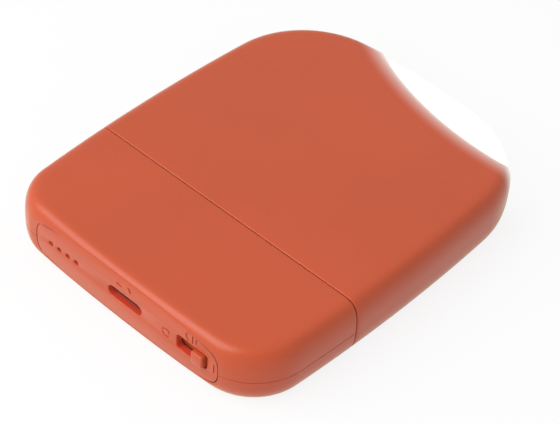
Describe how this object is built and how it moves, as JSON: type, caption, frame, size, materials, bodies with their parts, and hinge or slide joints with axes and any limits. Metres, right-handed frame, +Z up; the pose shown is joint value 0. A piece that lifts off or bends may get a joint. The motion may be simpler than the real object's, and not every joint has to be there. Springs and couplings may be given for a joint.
{
  "type": "power bank",
  "caption": "Flat rounded pocket power bank with a port panel, charge indicators, a slide switch and a lamp lens in one far corner.",
  "frame": {"origin": "middle of the footprint, on the resting face", "axes": "+X along the width, +Y from the port end to the lamp end, +Z up from the resting face"},
  "size_m": [0.072, 0.0898, 0.014],
  "materials": {
    "orange_case": "fine matte terracotta orange",
    "grey_moulding": "matte",
    "black_moulding": "matte",
    "white_moulding": "matte white",
    "screw_steel": "plain",
    "port_steel": "satin",
    "contact_gold": "plated",
    "circuit_board": "satin lacquer",
    "indicator_lens": "clear, unlit",
    "led_package": "phosphor yellow",
    "capacitor_body": "ceramic",
    "cell_foil": "foil",
    "foam_pad": "foam",
    "wire_sleeving": "silicone",
    "lamp_lens": "milky white, lit",
    "ribbon_film": "amber film"
  },
  "bodies": {
    "case": {"sleeve": "orange_case", "top_shell": "orange_case", "bottom_shell": "orange_case", "end_panel": "orange_case", "chassis": "grey_moulding", "chassis_screws": "screw_steel", "main_board": "circuit_board", "board_screws": "screw_steel", "usb_shell": "port_steel", "usb_tongue": "black_moulding", "usb_contacts": "contact_gold", "switch_body": "port_steel", "switch_contacts": "contact_gold", "indicator_lenses": "indicator_lens", "indicator_leds": "led_package", "power_inductor": "black_moulding", "control_chips": "black_moulding", "capacitors": "capacitor_body", "battery_cell": "cell_foil", "battery_pad": "foam_pad", "battery_tabs": "port_steel", "protection_board": "circuit_board", "battery_wires": "wire_sleeving", "lamp_diffuser": "lamp_lens", "lamp_reflector": "white_moulding", "lamp_board": "white_moulding", "lamp_leds": "led_package", "lamp_ribbon": "ribbon_film"},
    "switch": {"switch_knob": "orange_case", "switch_lever": "black_moulding", "switch_wiper": "contact_gold"}
  },
  "joints": [
    {"name": "switch_slide", "type": "slide", "parent": "case", "child": "switch", "axis": [1, 0, 0], "range_m": [-0.004, 0]}
  ]
}
